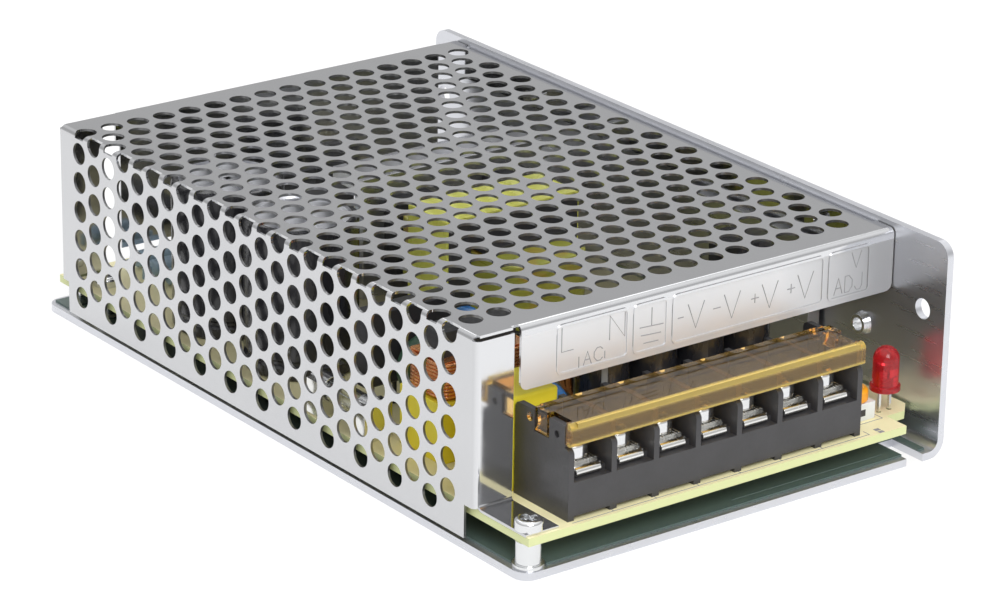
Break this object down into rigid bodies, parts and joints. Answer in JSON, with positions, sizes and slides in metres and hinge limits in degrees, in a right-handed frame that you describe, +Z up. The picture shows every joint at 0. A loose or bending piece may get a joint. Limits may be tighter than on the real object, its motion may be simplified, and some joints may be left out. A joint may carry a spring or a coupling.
{
  "type": "enclosed power supply",
  "caption": "Switching power supply in a perforated sheet-metal case with a screw terminal row, a hinged clear terminal cover, an indicator lamp and an adjusting trimmer.",
  "frame": {"origin": "middle of the case's footprint, on its underside", "axes": "+X along the terminal side towards the full-length wall, +Y from the terminals to the rear, +Z up"},
  "size_m": [0.098, 0.159, 0.042],
  "materials": {
    "sheet_steel": "plain rolled, bright",
    "aluminium": "plain rolled sheet",
    "film": "smooth film",
    "board": "laminate, cream lacquer on top",
    "nickel": "nickel plate",
    "tin": "bright tinned",
    "black_plastic": "moulded",
    "amber": "clear tinted moulding",
    "red_lens": "clear tinted moulding",
    "white_plastic": "moulded",
    "orange_plastic": "moulded",
    "ferrite": "ground ferrite",
    "yellow_tape": "polyester tape",
    "can_sleeve": "shrink sleeve",
    "copper": "enamelled copper wire",
    "yellow_plastic": "moulded box",
    "blue_coat": "dipped coating",
    "glass": "clear tube",
    "dark_coat": "dipped coating",
    "resistor_coat": "lacquered",
    "film_box": "moulded box",
    "mould_compound": "moulded"
  },
  "bodies": {
    "case": {"chassis": "aluminium", "cover": "sheet_steel", "insulation_sheet": "film", "circuit_board": "board", "standoffs": "nickel", "board_screws": "nickel", "cover_screws": "nickel", "wall_nut": "nickel", "terminal_block": "black_plastic", "terminal_plates": "tin", "led_lens": "red_lens", "led_leads": "tin", "trimmer_body": "white_plastic", "transformer_core": "ferrite", "transformer_tape": "yellow_tape", "transformer_bobbin": "black_plastic", "transformer_winding": "yellow_tape", "bulk_capacitor_1": "can_sleeve", "bulk_capacitor_2": "can_sleeve", "output_capacitors": "can_sleeve", "choke_core": "ferrite", "choke_coils": "copper", "choke_base": "yellow_plastic", "line_capacitor": "yellow_plastic", "disc_capacitors": "blue_coat", "fuse_tube": "glass", "fuse_caps": "nickel", "fuse_clips": "tin", "output_choke_core": "yellow_plastic", "output_choke_coil": "copper", "output_heat_sink": "aluminium", "output_rectifier": "mould_compound", "primary_heat_sink": "aluminium", "power_transistors": "mould_compound", "bridge_rectifier": "mould_compound", "thermistor": "dark_coat", "control_chip": "mould_compound", "optocouplers": "mould_compound", "driver_core": "ferrite", "driver_coil": "yellow_tape", "film_capacitors": "film_box", "resistors": "resistor_coat"},
    "lid": {"terminal_cover": "amber"},
    "rotor": {"trimmer_rotor": "orange_plastic"},
    "screw_1": {"terminal_screw_1": "nickel", "clamp_washer_1": "tin"},
    "screw_2": {"terminal_screw_2": "nickel", "clamp_washer_2": "tin"},
    "screw_3": {"terminal_screw_3": "nickel", "clamp_washer_3": "tin"},
    "screw_4": {"terminal_screw_4": "nickel", "clamp_washer_4": "tin"},
    "screw_5": {"terminal_screw_5": "nickel", "clamp_washer_5": "tin"},
    "screw_6": {"terminal_screw_6": "nickel", "clamp_washer_6": "tin"},
    "screw_7": {"terminal_screw_7": "nickel", "clamp_washer_7": "tin"}
  },
  "joints": [
    {"name": "lid_hinge", "type": "hinge", "parent": "case", "child": "lid", "pos_m": [0, -0.0662, 0.0242], "axis": [-1, 0, 0], "range_deg": [0, 70]},
    {"name": "trimmer_turn", "type": "hinge", "parent": "case", "child": "rotor", "pos_m": [0.0343, -0.0697, 0.0115], "axis": [0, 0, 1], "range_deg": [-135, 135]},
    {"name": "screw_1_lift", "type": "slide", "parent": "case", "child": "screw_1", "axis": [0, 0, 1], "range_m": [0, 0.0025]},
    {"name": "screw_2_lift", "type": "slide", "parent": "case", "child": "screw_2", "axis": [0, 0, 1], "range_m": [0, 0.0025]},
    {"name": "screw_3_lift", "type": "slide", "parent": "case", "child": "screw_3", "axis": [0, 0, 1], "range_m": [0, 0.0025]},
    {"name": "screw_4_lift", "type": "slide", "parent": "case", "child": "screw_4", "axis": [0, 0, 1], "range_m": [0, 0.0025]},
    {"name": "screw_5_lift", "type": "slide", "parent": "case", "child": "screw_5", "axis": [0, 0, 1], "range_m": [0, 0.0025]},
    {"name": "screw_6_lift", "type": "slide", "parent": "case", "child": "screw_6", "axis": [0, 0, 1], "range_m": [0, 0.0025]},
    {"name": "screw_7_lift", "type": "slide", "parent": "case", "child": "screw_7", "axis": [0, 0, 1], "range_m": [0, 0.0025]}
  ]
}
